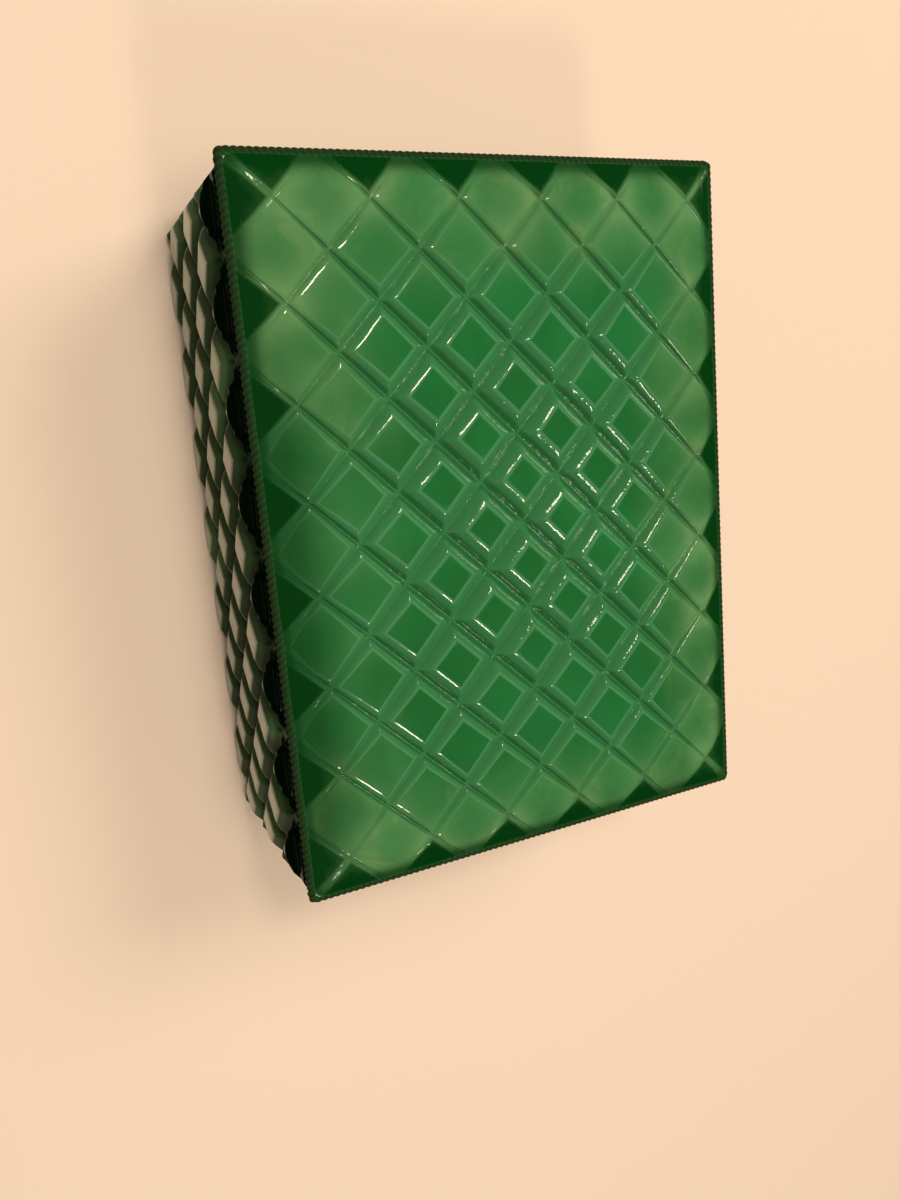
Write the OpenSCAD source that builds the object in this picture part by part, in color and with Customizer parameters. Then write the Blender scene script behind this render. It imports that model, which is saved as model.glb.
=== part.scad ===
// Pressed-glass card deck box: a tray and a loose lift-off lid, both cut all over
// with a lattice of V grooves that leaves rows of flat diamonds.
// Origin: middle of the underside. X is the width, Y the length, Z is up.

/* [Lattice] */
// Diagonal of one diamond cell, from groove crossing to groove crossing
cell = 13.2; // [11:0.1:17]
// Cells across the width
cells_x = 6; // [4:1:9]
// Cells along the length
cells_y = 8; // [5:1:12]
// Half width of a groove where it meets a flat
groove_half_w = 2.35; // [1.5:0.05:3]
// Depth of a groove below a flat
groove_depth = 1.8; // [0.8:0.05:2.2]

/* [Base] */
// Height of the base, from the underside to its rim
base_h = 37; // [24:0.5:70]
// Glass thickness of the side walls at the flats
wall_t = 5.8; // [4.4:0.1:8]
// Glass thickness of the floor, above the recess of the foot
floor_t = 5; // [3:0.1:9]
// How far the side walls stand out past the rim
wall_out = 1.4; // [0.6:0.1:2]
// Height of the upright band between the rim and the shoulder
band_h = 3; // [1:0.1:6]
// Height of the sloping shoulder that joins the band to the side walls
shoulder_h = 1.65; // [0.8:0.05:4]
// Height of the highest groove crossings below the rim
first_row_drop = 2.5; // [1:0.05:6]
// Half width of a flute where it is as deep as a groove
flute_half_w = 3.9; // [2:0.1:5]
// Depth of a flute below the band, where it runs out at the rim
flute_rim_depth = 0.5; // [0.1:0.05:0.8]
// Leg of the cut that takes off each upright corner
corner_cut = 5.4; // [3:0.1:8]
// Radius of the upright corners inside
cavity_r = 5; // [3:0.5:10]
// Depth of the recess in the underside
foot_recess = 0.8; // [0.4:0.1:2]
// Width of the foot ring that the box stands on
foot_ring_w = 7; // [4:0.5:12]

/* [Lid] */
// Height of the groove bottoms above the lid's seat
lid_root_h = 2.7; // [1.8:0.1:5]
// How much lower the top is at the outermost flats than in the middle
lid_fall = 1.2; // [0.4:0.05:1.5]
// Radius of the rolled upper edge
edge_r = 3; // [1.5:0.1:5]
// Radius of the lid's corners in plan
lid_corner_r = 0.7; // [0.4:0.1:4]
// Height of the rim bead round the lid's lower edge
bead_h = 1.4; // [0.8:0.1:2]
// How far the rim bead stands out past the side above it
bead_out = 0.4; // [0.2:0.05:0.8]

/* [Locating lip] */
// Depth of the lip that drops inside the base
lip_h = 3; // [1.5:0.1:6]
// Thickness of the lip
lip_t = 2.2; // [1.5:0.1:4]
// Gap between the lip and the inside of the base, on every side
lip_gap = 0.4; // [0.2:0.05:1]

/* [Hidden] */

$fn = 64;
// Overlap that a cutter needs to clear the face it cuts through
cut = 1;

rim_x = cells_x * cell;
rim_y = cells_y * cell;
base_x = rim_x + 2 * wall_out;
base_y = rim_y + 2 * wall_out;
cavity_x = base_x - 2 * wall_t;
cavity_y = base_y - 2 * wall_t;

glass_deep = [0.05, 0.36, 0.14];
glass_milky = [0.20, 0.50, 0.27];

lid_top_h = lid_root_h + groove_depth;

// Radius of an arch that falls by drop at a distance of reach from its crown
function arch_r(reach, drop) = (reach * reach + drop * drop) / (2 * drop);

// How far that arch has fallen at a distance of x from its crown
function arch_fall(r, x) = r - sqrt(r * r - x * x);

module rounded_rect(x, y, r) {
    square([x - 2 * r, y], center = true);
    square([x, y - 2 * r], center = true);
    for (sx = [-1, 1], sy = [-1, 1])
        translate([sx * (x / 2 - r), sy * (y / 2 - r)]) circle(r);
}

module corner_cut_rect(x, y, leg) {
    intersection() {
        square([x, y], center = true);
        rotate(45) square((x + y) / 2 * sqrt(2) - leg * sqrt(2), center = true);
    }
}

// A V-shaped bar along X: its lower edge is at z = -depth, its flanks meet z = 0 at
// half_w on each side, and it goes on up past z = 0 by cut
module v_bar(length, half_w, depth) {
    flare = half_w * (depth + cut) / depth;
    rotate([90, 0, 90])
        linear_extrude(length, center = true)
            polygon([[-flare, cut], [0, -depth], [flare, cut]]);
}

// Every lattice groove that crosses a face of w by h. The face is z = 0, and y runs up
// from its lower edge; groove crossings lie at (phase_x, phase_y) and every cell from it
module lattice(w, h, phase_x, phase_y) {
    reach = (w + h) / 2 + cell;
    bar_l = (w + h) * sqrt(2);
    for (side = [-1, 1]) {
        shift = phase_y - h / 2 - side * phase_x;
        first = -ceil((reach + shift) / cell);
        last = ceil((reach - shift) / cell);
        for (k = [first : last])
            if (abs(k * cell + shift) < (w + h) / 2 + groove_half_w * sqrt(2))
                translate([0, h / 2 + k * cell + shift, 0])
                    rotate([0, 0, side * 45])
                        v_bar(bar_l, groove_half_w, groove_depth);
    }
}

// A flute of the shoulder and the band, on the same face: its root rises from a groove
// crossing to the rim, and it stops on the flanks of the diamond under that crossing
module flute(h) {
    lean = atan2(groove_depth - wall_out - flute_rim_depth, first_row_drop);
    difference() {
        translate([0, h, -wall_out - flute_rim_depth])
            rotate([lean, 0, 0])
                translate([0, 0, groove_depth])
                    rotate([0, 0, 90])
                        v_bar(2 * (first_row_drop + flute_half_w), flute_half_w, groove_depth);
        translate([0, h - first_row_drop, -cell])
            rotate([0, 0, -135]) cube([cell, cell, 2 * cell]);
    }
}

// Stands a pattern that is drawn on a level face up on the side wall that faces
// direction turn, where out is that wall's distance from the middle
module on_wall(turn, out) {
    rotate([0, 0, turn])
        translate([out, 0, 0])
            rotate([90, 0, 90]) children();
}

// The base's outside, uncut: upright walls, a shoulder that slopes in, and the rim's band
module base_form() {
    intersection() {
        linear_extrude(base_h) corner_cut_rect(base_x, base_y, corner_cut);
        on_wall(0, 0)
            linear_extrude(base_x, center = true) shoulder_outline(base_y, rim_y);
        on_wall(90, 0)
            linear_extrude(base_y, center = true) shoulder_outline(base_x, rim_x);
    }
}

module shoulder_outline(wide, narrow) {
    band_z = base_h - band_h;
    wall_z = band_z - shoulder_h;
    translate([-narrow / 2, 0]) square([narrow, base_h]);
    polygon([
        [-wide / 2, 0], [wide / 2, 0], [wide / 2, wall_z],
        [narrow / 2, band_z], [-narrow / 2, band_z], [-wide / 2, wall_z]
    ]);
}

// Lattice up to the highest groove crossings, and a flute from each one up to the rim
module wall_pattern(w, cells) {
    phase = cells % 2 * cell / 2;
    crossing_y = base_h - first_row_drop;
    difference() {
        lattice(w, base_h, phase, crossing_y);
        translate([-w, crossing_y, -cell]) cube([2 * w, w, 2 * cell]);
    }
    for (i = [1 : cells - 1])
        translate([(i - cells / 2) * cell, 0, 0]) flute(base_h);
}

module base() {
    color(glass_deep)
        difference() {
            base_form();
            for (turn = [0, 180]) on_wall(turn, base_x / 2) wall_pattern(base_y, cells_y);
            for (turn = [90, 270]) on_wall(turn, base_y / 2) wall_pattern(base_x, cells_x);
            translate([0, 0, foot_recess + floor_t])
                linear_extrude(base_h) rounded_rect(cavity_x, cavity_y, cavity_r);
            translate([0, 0, -cut])
                linear_extrude(cut + foot_recess)
                    rounded_rect(base_x - 2 * foot_ring_w, base_y - 2 * foot_ring_w, cavity_r);
        }
}

// Outline of the lid's cross-section above its seat: a shallow arch with rolled edges
module lid_outline(width, cells) {
    half = width / 2 - bead_out;
    arch = arch_r((cells - 1) * cell / 2, lid_fall);
    edge_h = lid_top_h - arch_fall(arch, half - edge_r);
    roll_z = edge_h - edge_r;
    intersection() {
        translate([0, lid_top_h - arch]) circle(arch, $fn = 720);
        union() {
            translate([-half, -cut]) square([2 * half, cut + roll_z]);
            translate([-half + edge_r, -cut]) square([2 * (half - edge_r), lid_top_h + 2 * cut]);
            for (s = [-1, 1]) translate([s * (half - edge_r), roll_z]) circle(edge_r);
        }
        translate([-half, 0]) square([2 * half, lid_top_h + cut]);
    }
}

module lid_form() {
    intersection() {
        on_wall(0, 0)
            linear_extrude(rim_x, center = true) lid_outline(rim_y, cells_y);
        on_wall(90, 0)
            linear_extrude(rim_y, center = true) lid_outline(rim_x, cells_x);
        linear_extrude(lid_top_h + cut)
            rounded_rect(rim_x - 2 * bead_out, rim_y - 2 * bead_out, lid_corner_r);
    }
    linear_extrude(bead_h) rounded_rect(rim_x, rim_y, lid_corner_r + bead_out);
}

module lip() {
    lip_x = cavity_x - 2 * lip_gap;
    lip_y = cavity_y - 2 * lip_gap;
    lip_r = cavity_r - lip_gap;
    translate([0, 0, -lip_h])
        linear_extrude(lip_h + bead_h)
            difference() {
                rounded_rect(lip_x, lip_y, lip_r);
                rounded_rect(lip_x - 2 * lip_t, lip_y - 2 * lip_t, max(lip_r - lip_t, 1));
            }
}

module lid() {
    color(glass_milky)
        translate([0, 0, base_h]) {
            difference() {
                lid_form();
                translate([0, -rim_y / 2, lid_top_h])
                    lattice(rim_x, rim_y, cells_x % 2 * cell / 2, rim_y);
            }
            lip();
        }
}

base();
lid();
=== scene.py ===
import math

import bmesh
import bpy
import numpy as np
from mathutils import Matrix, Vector


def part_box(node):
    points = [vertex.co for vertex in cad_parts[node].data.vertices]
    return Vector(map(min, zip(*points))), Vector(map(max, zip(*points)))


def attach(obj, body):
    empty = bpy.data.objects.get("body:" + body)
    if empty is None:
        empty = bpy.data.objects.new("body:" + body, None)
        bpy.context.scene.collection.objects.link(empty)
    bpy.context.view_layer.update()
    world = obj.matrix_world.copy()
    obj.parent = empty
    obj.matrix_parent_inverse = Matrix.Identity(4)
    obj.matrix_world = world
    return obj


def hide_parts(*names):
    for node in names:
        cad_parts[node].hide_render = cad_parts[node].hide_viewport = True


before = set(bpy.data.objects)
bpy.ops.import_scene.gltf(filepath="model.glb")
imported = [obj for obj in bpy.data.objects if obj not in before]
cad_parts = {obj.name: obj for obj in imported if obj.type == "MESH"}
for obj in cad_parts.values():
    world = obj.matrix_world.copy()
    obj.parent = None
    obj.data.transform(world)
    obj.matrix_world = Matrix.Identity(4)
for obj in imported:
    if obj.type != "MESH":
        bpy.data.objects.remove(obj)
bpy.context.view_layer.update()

# ---------------------------------------------------------------- sizes, in millimetres
MM = 0.001
base_lo, base_hi = (np.array(c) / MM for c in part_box("base"))
lid_lo, lid_hi = (np.array(c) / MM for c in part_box("lid"))

CELLS_ACROSS = 6                                # lattice cells across the lid
RIM = lid_hi[:2] - lid_lo[:2]                   # outline of the rim, where lid meets base
CELL = RIM[0] / CELLS_ACROSS                        # diagonal of one cell
PERIOD = CELL / math.sqrt(2)                    # distance between parallel grooves
BASE_H = base_hi[2]
WALL_OUT = base_hi[0] - lid_hi[0]               # how far the walls stand out past the rim
LID_TOP = lid_hi[2] - BASE_H

GROOVE_HALF_W = 2.35
GROOVE_DEPTH = 1.8
FLANK_STEEP = 1.13                              # slope of a groove's flank near its bottom
FLANK_GENTLE = 0.5                              # and near the flat above it
FLANK_STEP = GROOVE_DEPTH - FLANK_GENTLE * GROOVE_HALF_W
ROOT_R = 0.05                                   # roundness of a groove's bottom
CREST_R = 0.22                                  # roundness of a groove's upper edges
PLAIN = 1.6                                     # "across" tone of glass with no groove

LID_ROOT = LID_TOP - GROOVE_DEPTH               # groove bottoms above the lid's seat
LID_FALL = 1.2                                  # fall of the top at the outermost flats
ROLL_W = 4.7                                    # width of the rolled edge
ROLL_FOOT = 1.35                                # height where the rolled edge ends
ROLL_FLAT = 1.2                                 # 1 is a plain bevel, 2 a full round
ROLL_INSET = 1.15                               # its outline, inside the rim's
ROLL_START = 1.4                                # where lattice gives way to plain roll
ROOT_EDGE_FALL = 0.9                            # how far groove bottoms dip at the outline

ROPE_PITCH = 1.0
ROPE_R = 0.7
ROPE_STEPS = 8                                  # columns of mesh for each strand

BAND_H = 3.0                                    # upright band under the rim
SHOULDER_H = 1.65                               # slope from the band to the walls
FIRST_ROW_DROP = 2.5                            # highest groove crossings below the rim
BEND_R = 0.1                                    # half width of the rounded bends there
FLUTE_HALF_W = 3.9
FLUTE_RIM_DEPTH = 0.5
CORNER_CUT = 5.4
COMB_H = 0.45                                   # height of the ribbed band at the base's rim
COMB_STEPS = 6                                  # columns of mesh for each rib
FOOT_BEVEL = 0.4                                # bevel round the base's lower edge
FLOOR_FILLET = 3.0                              # where the cavity's floor meets its walls

WALL_T = 5.8
FLOOR_Z = 5.8
CAVITY_R = 5.0
FOOT_RING_W = 7.0
FOOT_RECESS = 0.8
LIP_GAP = 0.4
LIP_T = 2.2
LIP_H = -(lid_lo[2] - BASE_H)


# ---------------------------------------------------------------- small helpers
def smooth_max(a, b, k):
    """The larger of a and b, rounded over where they cross, with no step in slope."""
    blend = np.maximum(k - np.abs(a - b), 0) / k
    return np.maximum(a, b) + blend * blend * k / 4


def ramp(x, start, end):
    """0 before start, 1 after end, smooth between."""
    t = np.clip((x - start) / (end - start), 0, 1)
    return t * t * (3 - 2 * t)


def wobble(x, y, wavelength, seed):
    """Smooth noise between about -1 and 1, the same on every run."""
    grid = np.random.default_rng(seed).uniform(-1, 1, (64, 64))
    gx, gy = x / wavelength + 31.7, y / wavelength + 17.3
    ix, iy = np.floor(gx).astype(int), np.floor(gy).astype(int)
    fx, fy = gx - ix, gy - iy
    fx, fy = fx * fx * (3 - 2 * fx), fy * fy * (3 - 2 * fy)
    near = grid[ix % 64, iy % 64] * (1 - fx) + grid[(ix + 1) % 64, iy % 64] * fx
    far = grid[ix % 64, (iy + 1) % 64] * (1 - fx) + grid[(ix + 1) % 64, (iy + 1) % 64] * fx
    return near * (1 - fy) + far * fy


def groove_distances(x, y, crossing):
    """Distance from each point to the nearest groove of either direction."""
    u = (x - crossing[0] + y - crossing[1]) / math.sqrt(2)
    v = (y - crossing[1] - x + crossing[0]) / math.sqrt(2)
    return [np.abs(d - PERIOD * np.round(d / PERIOD)) for d in (u, v)]


def flank_height(distance):
    """Height of the glass above a groove's bottom, at a distance from its middle."""
    rounded = np.sqrt(distance * distance + ROOT_R * ROOT_R) - ROOT_R * 0.4
    gentle = FLANK_STEP + FLANK_GENTLE * rounded
    return -smooth_max(-FLANK_STEEP * rounded, -gentle, 0.3)


# ---------------------------------------------------------------- lattice mesh
def groove_samples(half_w):
    """Where a row of the mesh lies across half a groove and half the flat beside it."""
    r = np.minimum(CREST_R * 1.5, half_w * 0.3)
    flat = PERIOD / 2 - half_w - r
    return [
        0 * half_w, 0.1 + 0 * half_w, 0.26 + 0 * half_w, half_w * 0.55,
        half_w - r, half_w - r * 0.4, half_w + r * 0.2, half_w + r,
        half_w + r + flat * 0.3, half_w + r + flat * 0.65,
    ]


def lattice_grid(lo, hi, crossing, half_width, depth, level_rows=()):
    """A flat mesh over a rectangle, with rows along the grooves of both directions.

    Returns its points (n, 2) and triangles. half_width(x, y) is a groove's half width
    there. Each square is split along the diagonal that follows depth(x, y) best.
    level_rows are the heights of straight edges that the mesh has across all of it."""
    lo, hi, crossing = (np.array(c, float) for c in (lo, hi, crossing))
    corners = [(x - crossing[0], y - crossing[1])
               for x in (lo[0], hi[0]) for y in (lo[1], hi[1])]
    us = [(x + y) / math.sqrt(2) / PERIOD for x, y in corners]
    vs = [(y - x) / math.sqrt(2) / PERIOD for x, y in corners]
    half = len(groove_samples(np.array(1.0)))
    steps = 2 * half
    index = [np.arange(math.floor(min(c)) * steps, math.ceil(max(c)) * steps + 1) for c in (us, vs)]
    grid_i, grid_j = np.meshgrid(*index, indexing="ij")

    def spread(i, half_w):
        """Position of mesh row i, where the grooves are half_w wide."""
        k = i % steps
        mirrored = k > half
        k_half = np.where(mirrored, steps - k, k)
        rows = np.stack(groove_samples(half_w) + [PERIOD / 2 + 0 * half_w])
        t = np.take_along_axis(rows, k_half[None], 0)[0]
        return (i // steps) * PERIOD + np.where(mirrored, PERIOD - t, t)

    half_w = np.full(grid_i.shape, GROOVE_HALF_W)
    for _ in range(3):
        u, v = spread(grid_i, half_w), spread(grid_j, half_w)
        x = crossing[0] + (u - v) / math.sqrt(2)
        y = crossing[1] + (u + v) / math.sqrt(2)
        half_w = half_width(x, y)

    inside = (x > lo[0] - 2) & (x < hi[0] + 2) & (y > lo[1] - 2) & (y < hi[1] + 2)
    keep = inside[:-1, :-1] | inside[1:, :-1] | inside[:-1, 1:] | inside[1:, 1:]
    ids = np.arange(x.size).reshape(x.shape)
    quads = [ids[:-1, :-1][keep], ids[1:, :-1][keep], ids[1:, 1:][keep], ids[:-1, 1:][keep]]
    px, py = x.ravel(), y.ravel()
    mid_x = sum(px[q] for q in quads) / 4
    mid_y = sum(py[q] for q in quads) / 4
    z = depth(px, py)
    mid_z = depth(mid_x, mid_y)
    misses = [np.abs((z[quads[k]] + z[quads[k + 2]]) / 2 - mid_z) for k in (0, 1)]
    straight = misses[0] <= misses[1] + 1e-4
    a, b, c, d = quads
    first = np.where(straight[:, None], np.stack([a, b, c], 1), np.stack([a, b, d], 1))
    second = np.where(straight[:, None], np.stack([a, c, d], 1), np.stack([b, c, d], 1))
    triangles = np.concatenate([first, second])
    used, triangles = np.unique(triangles, return_inverse=True)
    points = np.stack([px[used], py[used]], 1)
    return clip_flat(points, triangles.reshape(-1, 3), lo, hi, level_rows)


def clip_flat(points, triangles, lo, hi, level_rows):
    """Cuts a flat mesh down to a rectangle, and across it at each of level_rows."""
    mesh = bpy.data.meshes.new("clip")
    mesh.from_pydata(at_height(points, 0.0).tolist(), [], triangles.tolist())
    bm = bmesh.new()
    bm.from_mesh(mesh)
    bpy.data.meshes.remove(mesh)
    for axis in (0, 1):
        for limit, sign in ((lo[axis], -1), (hi[axis], 1)):
            normal = [0, 0, 0]
            normal[axis] = sign
            place = [0, 0, 0]
            place[axis] = limit
            bmesh.ops.bisect_plane(
                bm, geom=bm.verts[:] + bm.edges[:] + bm.faces[:], dist=1e-5,
                plane_co=place, plane_no=normal, clear_outer=True)
    for level in level_rows:
        bmesh.ops.bisect_plane(
            bm, geom=bm.verts[:] + bm.edges[:] + bm.faces[:], dist=1e-5,
            plane_co=(0, level, 0), plane_no=(0, 1, 0))
    bmesh.ops.triangulate(bm, faces=[f for f in bm.faces if len(f.verts) > 3])
    bm.verts.index_update()
    flat = np.array([v.co[:2] for v in bm.verts])
    faces = np.array([[v.index for v in f.verts] for f in bm.faces])
    bm.free()
    return flat, faces


# across places a point on a groove, ring is the milky tone, shade is how much painted shade lies
# there, bead marks the rope bead
TONES = ("across", "ring", "shade", "bead")     # what each point of the glass carries


class Shell:
    """A closed mesh in the making. Each point has a place in mm and its tones."""

    def __init__(self):
        self.places, self.tones, self.faces, self.count = [], [], [], 0

    def add(self, places, tones):
        places = np.asarray(places, float)
        tones = np.broadcast_to(np.asarray(tones, float), (len(places), len(TONES)))
        self.places.append(places)
        self.tones.append(tones)
        self.count += len(places)
        return np.arange(self.count - len(places), self.count)

    def add_faces(self, faces, offset=0):
        self.faces.extend((np.asarray(faces) + offset).tolist())

    def strip(self, a, b):
        """Joins two rings with the same number of points. b lies outside or above a."""
        a2, b2 = np.roll(a, -1), np.roll(b, -1)
        self.faces.extend(np.stack([a, a2, b2, b], 1).tolist())

    def angles(self, ring):
        p = np.concatenate(self.places)[ring]
        return np.arctan2(p[:, 1], p[:, 0])

    def zipper(self, a, b):
        """Joins two rings, each anticlockwise from above, whatever their counts."""
        turns = []
        for ring in (a, b):
            angle = self.angles(ring)
            start = int(np.argmin(angle))
            ring = np.roll(ring, -start)
            angle = np.roll(angle, -start)
            turns.append((np.append(ring, ring[0]), np.append(angle, angle[0] + 2 * math.pi)))
        (ra, ta), (rb, tb) = turns
        i = j = 0
        while i < len(ra) - 1 or j < len(rb) - 1:
            take_a = j == len(rb) - 1 or (i < len(ra) - 1 and ta[i + 1] <= tb[j + 1])
            if take_a:
                self.faces.append([int(ra[i]), int(ra[i + 1]), int(rb[j])])
                i += 1
            else:
                self.faces.append([int(ra[i]), int(rb[j + 1]), int(rb[j])])
                j += 1

    def carry_on(self, previous, rings, swapped=False):
        """Joins an open ring to the first of rings, and each of those to the next.

        rings are pairs of places and tones, all with the same count. swapped gives the
        zipper its two rings the other way round. Returns the last ring, still open."""
        for k, (places, tones) in enumerate(rings):
            ring = self.add(places, tones)
            if k == 0:
                self.zipper(*((ring, previous) if swapped else (previous, ring)))
            else:
                self.strip(previous, ring)
            previous = ring
        return previous

    def cap(self, ring, tones):
        """Closes a ring with a fan from its middle."""
        p = np.concatenate(self.places)[ring]
        middle = self.add([p.mean(0)], tones)[0]
        self.faces.extend([[int(a), int(b), int(middle)] for a, b in zip(ring, np.roll(ring, -1))])

    def boundary(self, faces):
        """The open rim of a patch of triangles, as one anticlockwise ring."""
        faces = np.asarray(faces)
        edges = np.concatenate([faces[:, [0, 1]], faces[:, [1, 2]], faces[:, [2, 0]]])
        open_edges = {tuple(e) for e in edges.tolist()} - {tuple(e[::-1]) for e in edges.tolist()}
        follow = dict(open_edges)
        ring = [next(iter(follow))]
        while len(ring) < len(follow):
            ring.append(follow[ring[-1]])
        return np.array(ring)

    def to_object(self, name, material):
        places = np.concatenate(self.places) * MM
        tones = np.concatenate(self.tones)
        mesh = bpy.data.meshes.new(name)
        mesh.from_pydata(places.tolist(), [], self.faces)
        for k, tone in enumerate(TONES):
            mesh.attributes.new(tone, "FLOAT", "POINT").data.foreach_set("value", tones[:, k])
        bm = bmesh.new()
        bm.from_mesh(mesh)
        bmesh.ops.remove_doubles(bm, verts=bm.verts, dist=1e-6)
        bmesh.ops.dissolve_degenerate(bm, edges=bm.edges, dist=1e-7)
        bmesh.ops.recalc_face_normals(bm, faces=bm.faces)
        open_edges = sum(not e.is_manifold for e in bm.edges)
        bm.to_mesh(mesh)
        bm.free()
        mesh.shade_smooth()
        mesh.materials.append(material)
        obj = bpy.data.objects.new(name, mesh)
        bpy.context.scene.collection.objects.link(obj)
        print(name, "faces", len(mesh.polygons), "open edges", open_edges)
        return obj


def ring_points(half_x, half_y, radius, counts):
    """Points of a rounded rectangle, anticlockwise, and their outward normals.

    counts is how many points go to a side along X, a side along Y and a corner."""
    along_x, along_y, corner = counts
    cx, cy = half_x - radius, half_y - radius
    points, normals = [], []
    for start, n_side, centre, ends in (
        (0, along_y, (cx, cy), ((half_x, -cy), (half_x, cy))),
        (90, along_x, (-cx, cy), ((cx, half_y), (-cx, half_y))),
        (180, along_y, (-cx, -cy), ((-half_x, cy), (-half_x, -cy))),
        (270, along_x, (cx, -cy), ((-cx, -half_y), (cx, -half_y))),
    ):
        t = np.arange(n_side)[:, None] / n_side
        points.append(np.array(ends[0]) * (1 - t) + np.array(ends[1]) * t)
        side_normal = [math.cos(math.radians(start)), math.sin(math.radians(start))]
        normals.append(np.tile(side_normal, (n_side, 1)))
        angle = np.radians(start + 90 * np.arange(corner) / corner)
        turn = np.column_stack([np.cos(angle), np.sin(angle)])
        points.append(np.array(centre) + radius * turn)
        normals.append(turn)
    return np.concatenate(points), np.concatenate(normals)


def at_height(points, z):
    """Flat points, raised to one height or to a height each."""
    return np.column_stack([points, np.broadcast_to(z, len(points))])


def level_rings(steps, counts, tones):
    """Level rounded rectangles from (half sizes, corner radius, height), with their tones."""
    return [(at_height(ring_points(*half, radius, counts)[0], z), tones)
            for half, radius, z in steps]


# ---------------------------------------------------------------- lid
LID_CROSSING = (-RIM[0] / 2, -RIM[1] / 2)
ROLL_CORNER_R = 1.0                             # corners of the rolled edge, in plan
ROPE_CORNER_R = 0.5                             # corners of the rope bead's core
SEAT_Z = BASE_H
ROLL_RINGS = (1.05, 0.7, 0.4, 0.18, 0.05, 0.0)  # insets of the mesh rings on the roll
ROPE_ANGLES = (105, 88, 70, 50, 30, 10, -10, -30, -50, -75)     # and on the rope bead

# where the lid's tones lie: each pair is where one fades in or out, in mm
RING_REACH = (CELL * 0.35, CELL * 1.5)          # milky ring, by distance from the outline
SHADE_REACH = (CELL * 0.40, CELL * 0.50)        # painted shade on the half cells along the outline, by size
RIM_SHADE, RIM_REACH = 0.85, (0.4, 3.0)         # painted shade in a line along the outline
LEFT_SHADE, LEFT_REACH = 0.7, (2.5, 12)         # painted shade in a strip along the left edge
LEFT_CLEAR, CLEAR_REACH = 0.7, (8, 26)          # how much less milky the glass is there, which adds to the left strip's painted shade
LEFT_TOP, LEFT_FOOT = (34, 8), (-40, -24)       # where the left edge's tones end, in y


def lid_edge_distance(x, y):
    """Distance inwards from the outline where the rolled edge ends."""
    r = ROLL_CORNER_R
    qx = np.abs(x) - (RIM[0] / 2 - ROLL_INSET - r)
    qy = np.abs(y) - (RIM[1] / 2 - ROLL_INSET - r)
    outside = np.hypot(np.maximum(qx, 0), np.maximum(qy, 0))
    return r - outside - np.minimum(np.maximum(qx, qy), 0)


def lid_dome(x, y):
    """Height of the flats, with no groove and no rolled edge."""
    fall_x = (x / (RIM[0] / 2 - CELL / 2)) ** 2
    fall_y = (y / (RIM[1] / 2 - CELL / 2)) ** 2
    fall = LID_FALL * np.sqrt(fall_x * fall_x + fall_y * fall_y)
    return LID_TOP - fall + 0.035 * wobble(x, y, 9, 3) + 0.012 * wobble(x, y, 3.4, 4)


def lid_root(x, y):
    """Height of the groove bottoms, which dip where they run out over the rolled edge."""
    return LID_ROOT - ROOT_EDGE_FALL * (1 - ramp(lid_edge_distance(x, y), -0.5, 4.0))


def lid_half_width(x, y):
    """Grooves narrow as they get shallower, and keep the shape of their flanks."""
    shallow = (lid_dome(x, y) - lid_root(x, y)) / GROOVE_DEPTH
    return np.clip(shallow, 0.25, 1) * GROOVE_HALF_W


def lid_depth(x, y):
    """How far the glass lies below the dome."""
    dome = lid_dome(x, y)
    depth = np.zeros_like(dome)
    edge = lid_edge_distance(x, y)
    scale = lid_half_width(x, y) / GROOVE_HALF_W
    chatter = (0.02 * wobble(x, y, 2.6, 5), 0.07 * wobble(x, y, 2.2, 6))
    for rough, distance in zip(chatter, groove_distances(x, y, LID_CROSSING)):
        root = lid_root(x, y) + rough
        depth = smooth_max(depth, dome - root - scale * flank_height(distance / scale), CREST_R)
    inset = np.clip(edge, 0, ROLL_W)
    edge_h = LID_TOP - LID_FALL * 1.15
    rolled = edge_h - (edge_h - ROLL_FOOT) * (1 - inset / ROLL_W) ** ROLL_FLAT
    return smooth_max(depth, dome - rolled - 4 * ramp(inset, ROLL_W * 0.8, ROLL_W * 1.2), 0.3)


def half_cell_distance(x, y):
    """Diagonal distance from the middle of the nearest half cell along the outline."""
    distances = []
    for along, side, across, span in ((x, RIM[0], y, RIM[1]), (y, RIM[1], x, RIM[0])):
        place = (along + side / 2) / CELL
        offset = np.abs(place - np.floor(place) - 0.5) * CELL
        distances.append(offset + span / 2 - np.abs(across))
    return np.minimum(*distances)


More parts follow.
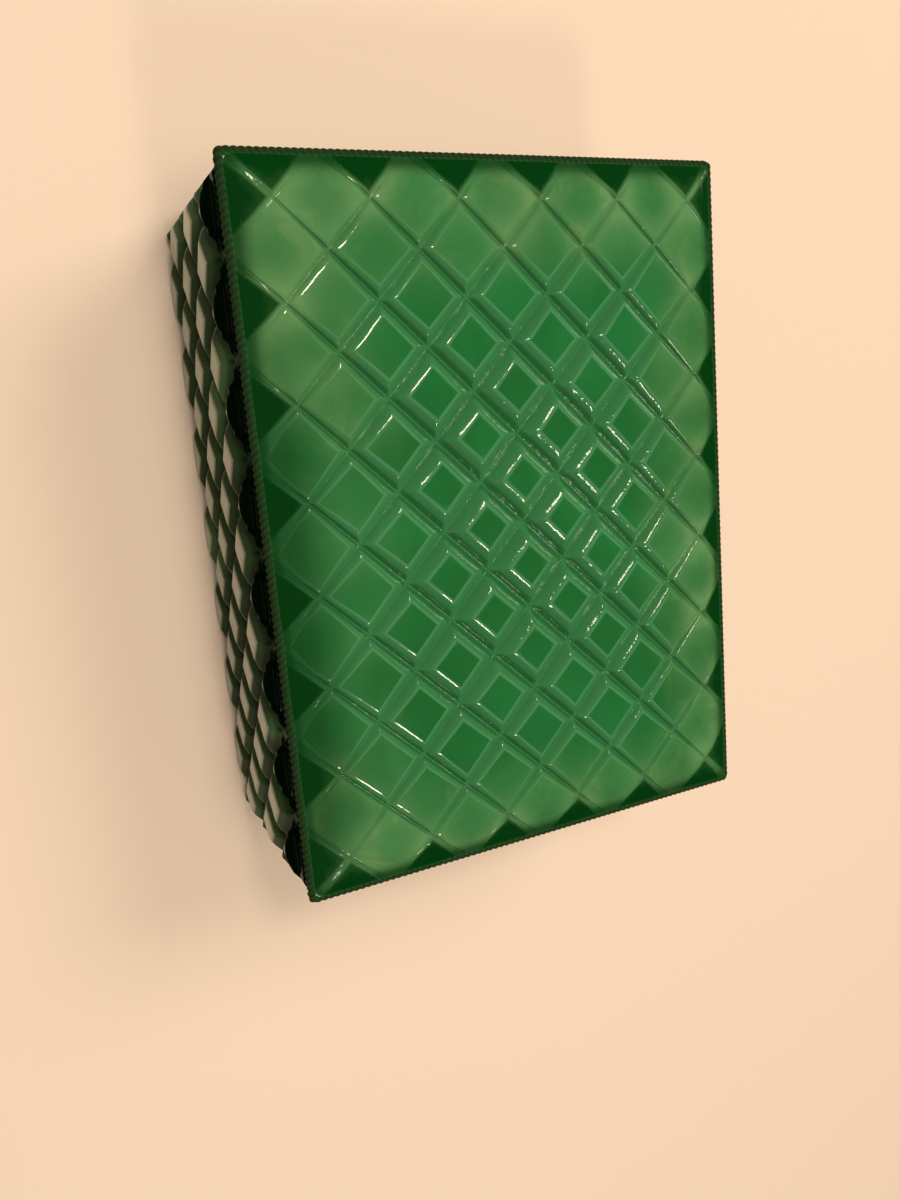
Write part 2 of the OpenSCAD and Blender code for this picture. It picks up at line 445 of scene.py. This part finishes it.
def lid_tones(x, y):
    """Place across a groove, how milky the glass is and how much painted shade lies, at points of
    the lid.
    """
    backslash, slash = groove_distances(x, y, LID_CROSSING)
    near = np.minimum(backslash, slash)
    across = np.minimum(near / lid_half_width(x, y), PLAIN)
    # the slash grooves get none of the crease's painted shade; only the backslash grooves keep it
    across = np.where(slash < backslash, np.maximum(across, 0.5), across)
    inset = lid_edge_distance(x, y)
    drift = (y / RIM[1] - x / RIM[0]) * 3.0
    cloud = 3.4 * wobble(x, y, 24, 21) + 1.8 * wobble(x, y, 9, 22)
    ring = 1 - ramp(inset - drift - cloud, *RING_REACH)
    seam = 1 - ramp(near, 0.4, 3.4)
    node = 1 - ramp(np.hypot(backslash, slash), 0.5, 4.5)
    patch = 0.55 + 0.45 * ramp(wobble(x, y, 6, 23), -0.5, 0.5)
    ring = np.clip(ring * patch * (0.5 + 0.4 * seam + 0.35 * node), 0, 1)
    # painted shade: over the half cells along the outline, in a line along the outline and in a
    # strip along the left edge, where the milky tone is also weakened
    cell = half_cell_distance(x, y)
    shade = 1 - ramp(cell, *SHADE_REACH)
    rim = RIM_SHADE * (1 - ramp(inset, *RIM_REACH))
    from_left = x + RIM[0] / 2
    below_corner = ramp(y, *LEFT_TOP)
    left = LEFT_SHADE * (1 - ramp(from_left, *LEFT_REACH)) * below_corner
    clear = LEFT_CLEAR * (1 - ramp(from_left, *CLEAR_REACH)) * below_corner
    ring = ring * (1 - clear * ramp(y, *LEFT_FOOT))
    return np.column_stack([across, ring, np.maximum(np.maximum(shade, rim), left), 0 * x])


def build_lid(material):
    """Lattice top, rolled edge, rope bead and locating lip, as one closed skin."""
    shell = Shell()
    reach = RIM / 2 - ROLL_INSET - ROLL_START
    flat, faces = lattice_grid(-reach, reach, LID_CROSSING, lid_half_width, lid_depth)
    x, y = flat.T
    top = shell.add(at_height(flat, SEAT_Z + lid_dome(x, y) - lid_depth(x, y)), lid_tones(x, y))
    shell.add_faces(faces, top[0])

    half = RIM / 2
    plain = (180, 240, 6)
    roll = []
    for inset in ROLL_RINGS:
        radius = max(ROLL_CORNER_R - inset, 0.1)
        points, _ = ring_points(*(half - ROLL_INSET - inset), radius, plain)
        z = SEAT_Z + lid_dome(*points.T) - lid_depth(*points.T)
        roll.append((at_height(points, z), lid_tones(*points.T)))
    previous = shell.carry_on(shell.boundary(faces + top[0]), roll)

    core_r = ROPE_CORNER_R
    strands = [round((side - 2 * (core_r + ROPE_R)) / ROPE_PITCH) for side in RIM] + [1]
    counts = [n * ROPE_STEPS for n in strands]
    core, outward = ring_points(*(half - ROPE_R), core_r, counts)
    column = np.arange(len(core))
    rope = []
    for angle in np.radians(ROPE_ANGLES):
        strand = 0.5 + 0.5 * np.cos(2 * math.pi * (column / ROPE_STEPS + angle * 0.35))
        bulge = ROPE_R * (1 - 0.26 * strand ** 1.5)
        places = at_height(core + outward * (bulge * math.cos(angle))[:, None],
                           SEAT_Z + ROPE_R + ROPE_R * math.sin(angle))
        # painted shade in the dips between the strands
        tones = np.column_stack([1 - strand, 0 * strand, 0.75 * strand, 1 + 0 * strand])
        rope.append((places, tones))
    previous = shell.carry_on(previous, rope)

    cavity = base_hi[:2] - WALL_T
    lip = cavity - LIP_GAP
    lip_r = CAVITY_R - LIP_GAP
    under = (60, 80, 10)
    steps = [
        (half - 1.3, core_r, 0.0), (lip + 0.3, lip_r, 0.0), (lip + 0.08, lip_r, -0.08),
        (lip, lip_r, -0.3), (lip, lip_r, 0.5 - LIP_H), (lip - 0.15, lip_r, 0.15 - LIP_H),
        (lip - 0.5, lip_r - 0.5, -LIP_H), (lip - LIP_T + 0.5, lip_r - LIP_T + 0.5, -LIP_H),
        (lip - LIP_T + 0.15, lip_r - LIP_T + 0.15, 0.15 - LIP_H),
        (lip - LIP_T, lip_r - LIP_T, 0.5 - LIP_H), (lip - LIP_T, lip_r - LIP_T, -0.5),
        (lip - LIP_T - 0.15, lip_r - LIP_T, -0.15), (lip - LIP_T - 0.5, lip_r - LIP_T, 0.0),
    ]
    steps = [(size, radius, SEAT_Z + z) for size, radius, z in steps]
    # a little painted shade under the lid and on its lip
    previous = shell.carry_on(previous, level_rings(steps, under, (PLAIN, 0.4, 0.1, 0)))
    shell.cap(previous, (PLAIN, 0, 0, 0))
    return shell.to_object("lid_glass", material)


# ---------------------------------------------------------------- base
def wall_layers(t, z, length):
    """Depths below a side wall's flats of its grooves, flutes, shoulder and corner cuts.

    t is measured along the wall from its own sharp corner, z from the underside."""
    place = t - WALL_OUT
    below = BASE_H - FIRST_ROW_DROP - z
    grooves = 0.02 * wobble(t, z, 7, 11)
    for distance in groove_distances(place, z, (0, BASE_H - FIRST_ROW_DROP)):
        groove = GROOVE_DEPTH - flank_height(distance)
        grooves = smooth_max(grooves, np.where(below >= -1e-6, groove, -1), CREST_R)
    number = np.round(place / CELL)
    aside = np.abs(place - CELL * number)
    is_flute = (number > 0.5) & (number < round(length / CELL) - 0.5) & (aside >= below - 0.02)
    rim_depth = WALL_OUT + FLUTE_RIM_DEPTH
    root = rim_depth + (GROOVE_DEPTH - rim_depth) * (BASE_H - z) / FIRST_ROW_DROP
    flute = root - GROOVE_DEPTH / FLUTE_HALF_W * (np.sqrt(aside ** 2 + ROOT_R ** 2) - ROOT_R)
    slope = WALL_OUT * ((z - BASE_H + BAND_H) / SHOULDER_H + 1)
    shoulder = -smooth_max(-slope, -WALL_OUT, 2 * BEND_R * WALL_OUT / SHOULDER_H)
    corner = CORNER_CUT - np.minimum(t, length + 2 * WALL_OUT - t)
    return grooves, np.where(is_flute, flute, -1), shoulder, corner


def wall_depth(t, z, length):
    """How far the glass lies below a side wall's flats."""
    grooves, flute, shoulder, corner = wall_layers(t, z, length)
    depth = smooth_max(grooves, flute, CREST_R)
    depth = smooth_max(depth, shoulder, 2 * BEND_R * WALL_OUT / SHOULDER_H)
    return smooth_max(depth, corner, 0.35)


def wall_tones(t, z, length):
    """Place across a groove, how milky the glass is and how much painted shade lies, at points of a
    wall.
    """
    grooves, flute, shoulder, corner = wall_layers(t, z, length)
    near = np.minimum(*groove_distances(t - WALL_OUT, z, (0, BASE_H - FIRST_ROW_DROP)))
    near = np.where(z > BASE_H - FIRST_ROW_DROP, PLAIN * GROOVE_HALF_W, near)
    across = np.minimum(near / GROOVE_HALF_W, PLAIN)
    across = np.where(flute > 0, np.minimum(across, 1 - flute / GROOVE_DEPTH), across)
    # painted shade on the upright band and the shoulder under the rim, which makes the black bays
    shade = ramp(shoulder - np.maximum(np.maximum(grooves, flute), 0), -0.5, 0.1)
    cloud = ramp(wobble(t + 40 * length, z, 13, 31), -0.2, 0.9)
    return np.column_stack([across, 0.6 * cloud, shade, 0 * t])


def build_base(material):
    """Four patterned walls with cut corners, ribbed rim, cavity and foot, as one skin."""
    shell = Shell()
    bottom, comb = FOOT_BEVEL, BASE_H - COMB_H
    band_z = BASE_H - BAND_H
    wall_z = band_z - SHOULDER_H
    bends = [z + aside for z in (wall_z, band_z) for aside in (-BEND_R, 0, BEND_R)]
    patches = []
    for turn, length, out in ((0, RIM[1], base_hi[0]), (90, RIM[0], base_hi[1]),
                              (180, RIM[1], base_hi[0]), (270, RIM[0], base_hi[1])):
        full = length + 2 * WALL_OUT
        crossing = (WALL_OUT, BASE_H - FIRST_ROW_DROP)
        flat, faces = lattice_grid(
            (CORNER_CUT / 2, bottom), (full - CORNER_CUT / 2, comb), crossing,
            lambda x, y: np.full(np.shape(x), GROOVE_HALF_W),
            lambda x, y: wall_depth(x, y, length), bends)
        t, z = flat.T
        inward = out - wall_depth(t, z, length)
        local = np.column_stack([inward, t - full / 2, z])
        c, s = round(math.cos(math.radians(turn))), round(math.sin(math.radians(turn)))
        places = at_height(local[:, :2] @ np.array([[c, s], [-s, c]]), z)
        ids = shell.add(places, wall_tones(t, z, length))
        patches.append(faces + ids[0])
    walls = np.concatenate(patches)
    places = np.concatenate(shell.places)
    _, first, inverse = np.unique(
        np.round(places, 4), axis=0, return_index=True, return_inverse=True)
    walls = first[inverse.ravel()[walls]]
    walls = walls[(walls != np.roll(walls, -1, 1)).all(1)]
    shell.add_faces(walls)
    upper, lower = wall_rims(places, walls, (bottom + comb) / 2)

    half = RIM / 2
    ribs = (int(RIM[0] - 6), int(RIM[1] - 6), 3)    # along X, along Y, at a corner
    counts = tuple(n * COMB_STEPS for n in ribs)
    core, outward = cut_corner_ring(half - 0.5, CORNER_CUT - 2 * WALL_OUT, counts)
    column = np.arange(len(core))
    tooth = 0.5 + 0.5 * np.cos(2 * math.pi * column / COMB_STEPS)
    # painted shade over the ribbed rim under the lid's bead, with the darker flank tint between its
    # ribs
    tones = np.column_stack([1 - tooth, 0 * tooth, 0.9 + 0 * tooth, 0 * tooth])
    rim = []
    for lift, reach in ((-0.4, 0.33), (-0.3, 0.45), (-0.18, 0.47), (-0.07, 0.36), (0.0, 0.1)):
        offset = reach - 0.2 * tooth * (reach > 0.3)
        rim.append((at_height(core + outward * offset[:, None], BASE_H + lift), tones))
    previous = shell.carry_on(upper, rim, swapped=True)

    cavity = base_hi[:2] - WALL_T
    inside = (60, 80, 12)
    steps = [(cavity + 0.7, CAVITY_R + 0.7, BASE_H), (cavity + 0.2, CAVITY_R + 0.2, BASE_H - 0.2),
             (cavity, CAVITY_R, BASE_H - 0.7), (cavity, CAVITY_R, FLOOR_Z + FLOOR_FILLET)]
    for angle in (22.5, 45, 67.5, 90):
        a = math.radians(angle)
        inset = FLOOR_FILLET * (1 - math.cos(a))
        z = FLOOR_Z + FLOOR_FILLET * (1 - math.sin(a))
        steps.append((cavity - inset, CAVITY_R - inset, z))
    # a little painted shade inside the cavity and on its floor
    previous = shell.carry_on(previous, level_rings(steps, inside, (PLAIN, 0.2, 0.2, 0)))
    shell.cap(previous, (PLAIN, 0.1, 0.1, 0))

    flat_lower = places[lower]
    inner = flat_lower[:, :2] * (1 - bottom / np.abs(flat_lower[:, :2]).max(1))[:, None]
    # a little painted shade round and under the foot
    previous = shell.add(at_height(inner, 0.0), (PLAIN, 0, 0.2, 0))
    between = (inner + 2 * flat_lower[:, :2]) / 3
    mid = shell.add(at_height(between, bottom * 0.3), (PLAIN, 0, 0.2, 0))
    shell.strip(lower, mid)
    shell.strip(mid, previous)
    foot = base_hi[:2] - FOOT_RING_W
    steps = [(foot, CAVITY_R, 0.0), (foot - 0.2, CAVITY_R, 0.2),
             (foot - 0.3, CAVITY_R, FOOT_RECESS - 0.2), (foot - 0.6, CAVITY_R, FOOT_RECESS)]
    previous = shell.carry_on(previous, level_rings(steps, inside, (PLAIN, 0, 0.2, 0)))
    shell.cap(previous, (PLAIN, 0, 0.1, 0))
    return shell.to_object("base_glass", material)


def wall_rims(places, walls, middle):
    """The upper and the lower open ring of the four joined walls, anticlockwise."""
    edges = np.concatenate([walls[:, [0, 1]], walls[:, [1, 2]], walls[:, [2, 0]]])
    forward = {tuple(e) for e in edges.tolist()}
    single = [e for e in forward if (e[1], e[0]) not in forward]
    rings = []
    for above in (True, False):
        ids = np.array(sorted({e[0] for e in single if (places[e[0], 2] > middle) == above}))
        angle = np.arctan2(places[ids, 1], places[ids, 0])
        rings.append(ids[np.argsort(angle)])
    return rings


def cut_corner_ring(half, leg, counts):
    """A rectangle with cut corners, as points and outward normals, anticlockwise."""
    hx, hy = half
    corners = [(hx, -hy + leg), (hx, hy - leg), (hx - leg, hy), (-hx + leg, hy),
               (-hx, hy - leg), (-hx, -hy + leg), (-hx + leg, -hy), (hx - leg, -hy)]
    numbers = [counts[1], counts[2], counts[0], counts[2]] * 2
    points, normals = [], []
    for k, n in enumerate(numbers):
        a, b = np.array(corners[k]), np.array(corners[(k + 1) % 8])
        t = np.arange(n)[:, None] / n
        points.append(a * (1 - t) + b * t)
        along = (b - a) / np.linalg.norm(b - a)
        normals.append(np.tile([along[1], -along[0]], (n, 1)))
    points, normals = np.concatenate(points), np.concatenate(normals)
    for _ in range(3):
        normals = normals + np.roll(normals, 1, 0) + np.roll(normals, -1, 0)
        normals /= np.linalg.norm(normals, axis=1)[:, None]
    return points, normals


# ---------------------------------------------------------------- materials
def nodes_of(name):
    """A new material, its node tree and its Principled shader."""
    material = bpy.data.materials.new(name)
    material.use_nodes = True
    tree = material.node_tree
    return material, tree, tree.nodes["Principled BSDF"]


def link(tree, source, target):
    """Joins two sockets."""
    tree.links.new(source, target)


def mix_colours(tree, factor, first, second):
    """first where factor is 0, second where it is 1."""
    node = tree.nodes.new("ShaderNodeMix")
    node.data_type = "RGBA"
    node.clamp_factor = True
    sockets = [node.inputs[k] for k in (0, 6, 7)]
    for socket, value in zip(sockets, (factor, first, second)):
        if isinstance(value, (tuple, float, int)):
            socket.default_value = value
        else:
            link(tree, value, socket)
    return node.outputs[2]


def map_range(tree, value, low, high, to_low=0.0, to_high=1.0):
    """A smooth step of value from to_low at low to to_high at high."""
    node = tree.nodes.new("ShaderNodeMapRange")
    node.interpolation_type = "SMOOTHSTEP"
    link(tree, value, node.inputs[0])
    for socket, number in zip(node.inputs[1:5], (low, high, to_low, to_high)):
        socket.default_value = number
    return node.outputs[0]


def attribute(tree, name):
    """One of the tones that the mesh carries."""
    node = tree.nodes.new("ShaderNodeAttribute")
    node.attribute_name = name
    return node.outputs["Fac"]


def noise(tree, scale, detail=3.0, roughness=0.5, distortion=0.0):
    """Noise that stays with the object as it moves."""
    where = tree.nodes.new("ShaderNodeTexCoord")
    node = tree.nodes.new("ShaderNodeTexNoise")
    node.inputs["Scale"].default_value = scale
    node.inputs["Detail"].default_value = detail
    node.inputs["Roughness"].default_value = roughness
    node.inputs["Distortion"].default_value = distortion
    link(tree, where.outputs["Object"], node.inputs["Vector"])
    return node.outputs["Fac"]


def product(tree, first, second):
    """first times second."""
    node = tree.nodes.new("ShaderNodeMath")
    node.operation = "MULTIPLY"
    for socket, value in zip(node.inputs, (first, second)):
        if isinstance(value, float):
            socket.default_value = value
        else:
            link(tree, value, socket)
    return node.outputs[0]


def ripple(tree, height, distance, strength, under=None):
    """A bump, on top of the bump whose normal is under."""
    node = tree.nodes.new("ShaderNodeBump")
    node.inputs["Distance"].default_value = distance
    link(tree, height, node.inputs["Height"])
    if isinstance(strength, float):
        node.inputs["Strength"].default_value = strength
    else:
        link(tree, strength, node.inputs["Strength"])
    if under:
        link(tree, under, node.inputs["Normal"])
    return node.outputs["Normal"]


def jade_glass(name, tints, subsurface, flat_shine, flank_shine):
    """Glossy translucent marbled glass. Clouds, veins and the milky ring are its own colour; the
    flank, crest, crease and dark tints are painted light and shade.

    flank_shine is how much of flat_shine the grooves' flanks have, and the dark parts have
    half of that: at a low angle they would mirror the floor, which the photo doesn't show."""
    material, tree, shader = nodes_of(name)
    across, ring, shade, bead = (attribute(tree, tone) for tone in TONES)
    clouds = map_range(tree, noise(tree, 34, 3, 0.55, 0.8), 0.38, 0.68)
    veins = map_range(tree, noise(tree, 90, 4, 0.6, 1.6), 0.52, 0.72, 0.0, 0.5)
    colour = mix_colours(tree, clouds, tints["flat"], tints["pale"])
    colour = mix_colours(tree, product(tree, ring, 0.8), colour, tints["milky"])
    colour = mix_colours(tree, product(tree, ring, veins), colour, tints["vein"])
    # painted light on the lid's groove flanks, where floor light comes through, and painted shade
    # on the base's; both fade where the glass is milky
    clear = map_range(tree, ring, 0.75, 0.1, 0.15, 1.0)
    flank_light_and_shade = product(tree, map_range(tree, across, 1.12, 0.86, 0.0, 0.8), clear)
    colour = mix_colours(tree, flank_light_and_shade, colour, tints["flank_light_and_shade"])
    # painted highlight along the flats' edges
    crest_highlight = product(tree, map_range(tree, across, 0.82, 0.98),
                    map_range(tree, across, 1.2, 1.02, 0.0, 0.45))
    colour = mix_colours(tree, product(tree, crest_highlight, clear), colour, tints["crest_highlight"])
    # painted shade along the groove bottoms
    crease_shade = product(tree, map_range(tree, across, 0.5, 0.3),
                     map_range(tree, across, 0.02, 0.14, 0.0, 0.5))
    colour = mix_colours(tree, crease_shade, colour, tints["crease_shade"])
    colour = mix_colours(tree, bead, colour, tints["bead"])
    # painted shade, as much as the shade tone says
    colour = mix_colours(tree, shade, colour, tints["dark"])
    link(tree, colour, shader.inputs["Base Color"])
    shader.inputs["Roughness"].default_value = 0.08
    shader.inputs["IOR"].default_value = 1.52
    shine = product(tree, map_range(tree, across, 0.8, 1.0, flank_shine, 1.0),
                    map_range(tree, shade, 0.0, 1.0, 1.0, flank_shine * 0.5))
    shine = product(tree, shine, map_range(tree, bead, 0.0, 1.0, flat_shine, 0.01))
    link(tree, shine, shader.inputs["Specular IOR Level"])
    shader.inputs["Subsurface Weight"].default_value = subsurface
    shader.inputs["Subsurface Radius"].default_value = (0.25, 1.0, 0.35)
    shader.inputs["Subsurface Scale"].default_value = 0.0015
    skin = ripple(tree, noise(tree, 260, 2, 0.5, 0.4), 0.0004, 0.16)
    chatter = map_range(tree, across, 1.0, 0.7, 0.0, 0.28)
    skin = ripple(tree, noise(tree, 900, 2, 0.6, 0.3), 0.0002, chatter, skin)
    link(tree, skin, shader.inputs["Normal"])
    return material


def floor_material():
    """Plain pale warm floor, with a faint drift of tint."""
    material, tree, shader = nodes_of("floor")
    tint = mix_colours(tree, noise(tree, 3, 2), (0.82, 0.68, 0.565, 1), (0.86, 0.72, 0.605, 1))
    link(tree, tint, shader.inputs["Base Color"])
    shader.inputs["Roughness"].default_value = 0.6
    return material


# ---------------------------------------------------------------- stage
LAMP_AIM = (0, 0, 0.04)
SOFT_SIZE, SOFT_POWER = 0.55, 5.6
CAMERA_LENS = 27.64                             # mm, on a sensor of 36 mm
CAMERA_AT = (-0.84795, 0.22057, 1.59396)        # from the middle of the rim, in lid widths
CAMERA_TURN = (-9.38, -24.53, -5.45)            # degrees


def build_stage():
    """The floor that the box stands on."""
    bpy.ops.mesh.primitive_plane_add(size=4, location=(0, 0, 0))
    floor = bpy.context.object
    floor.name = "floor"
    floor.data.materials.append(floor_material())


def area_light(name, place, size, power, colour):
    """A round lamp that points at the box."""
    light = bpy.data.lights.new(name, "AREA")
    light.shape = "DISK"
    light.size = size
    light.energy = power
    light.color = colour
    obj = bpy.data.objects.new(name, light)
    obj.location = place
    aim = Vector(LAMP_AIM) - Vector(place)
    obj.rotation_euler = aim.to_track_quat("-Z", "Y").to_euler()
    bpy.context.scene.collection.objects.link(obj)
    return obj


def build_lights():
    """Small lamps for the glints, wide ones for soft light, and a dim room.

    The small ones stand where the lid's flats don't mirror them to the camera."""
    warm = (1.0, 0.86, 0.70)
    area_light("lamp_low", (0.95, 0.37, 0.15), 0.28, 0.5, warm)
    area_light("lamp_back", (-0.05, 0.50, 0.97), 0.17, 2.2, warm)
    area_light("lamp_front", (0.0, -0.72, 0.92), 0.15, 2.0, warm)
    for name, place in (("soft_right", (0.62, 0.48, 0.85)), ("soft_above", (-0.05, -0.05, 1.1))):
        soft = area_light(name, place, SOFT_SIZE, SOFT_POWER, warm)
        soft.visible_glossy = False
    world = bpy.data.worlds.new("room")
    world.use_nodes = True
    tree = world.node_tree
    where = tree.nodes.new("ShaderNodeTexCoord")
    split = tree.nodes.new("ShaderNodeSeparateXYZ")
    link(tree, where.outputs["Generated"], split.inputs[0])
    height = map_range(tree, split.outputs["Z"], 0.05, 0.9)
    room = mix_colours(tree, height, (0.03, 0.027, 0.022, 1), (0.20, 0.175, 0.145, 1))
    link(tree, room, tree.nodes["Background"].inputs["Color"])
    bpy.context.scene.world = world


def build_camera():
    """Above the box and to its left, as fitted to the lid in the photo."""
    width = RIM[0] * MM
    data = bpy.data.cameras.new("camera")
    data.sensor_width = 36
    data.lens = CAMERA_LENS
    data.clip_start = 0.005
    camera = bpy.data.objects.new("camera", data)
    across, along, above = CAMERA_AT
    camera.location = (across * width, along * width, BASE_H * MM + above * width)
    camera.rotation_euler = [math.radians(a) for a in CAMERA_TURN]
    bpy.context.scene.collection.objects.link(camera)
    bpy.context.scene.camera = camera


# lid: the flank and crest tints are painted light on the grooves, the crease and dark tints painted
# shade
lid_material = jade_glass("lid_jade_glass", {
    "flat": (0.006, 0.125, 0.024, 1), "pale": (0.010, 0.165, 0.040, 1),
    "milky": (0.128, 0.30, 0.118, 1), "vein": (0.18, 0.32, 0.12, 1),
    "flank_light_and_shade": (0.045, 0.215, 0.080, 1), "crest_highlight": (0.10, 0.33, 0.15, 1),
    "crease_shade": (0.006, 0.075, 0.018, 1), "dark": (0.0, 0.040, 0.004, 1),
    "bead": (0.026, 0.040, 0.020, 1)}, 0.2, 0.5, 0.7)
# base: flat and pale are the walls' green, lightened and greyed in part as painted reflection of
# the floor; crest is a faint painted highlight; flank, crease and dark are painted shade in the
# grooves and in the bays under the rim
base_material = jade_glass("base_jade_glass", {
    "flat": (0.070, 0.150, 0.062, 1), "pale": (0.095, 0.185, 0.080, 1),
    "milky": (0.085, 0.200, 0.085, 1), "vein": (0.11, 0.22, 0.095, 1),
    "flank_light_and_shade": (0.010, 0.030, 0.009, 1), "crest_highlight": (0.09, 0.15, 0.07, 1),
    "crease_shade": (0.004, 0.012, 0.003, 1), "dark": (0.0, 0.004, 0.001, 1),
    "bead": (0.010, 0.020, 0.008, 1)}, 0.1, 0.95, 0.02)

bpy.context.scene.view_settings.view_transform = "Standard"
lid = build_lid(lid_material)
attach(lid, "lid")
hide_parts("lid")

base = build_base(base_material)
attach(base, "base")
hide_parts("base")

build_stage()
build_lights()
build_camera()
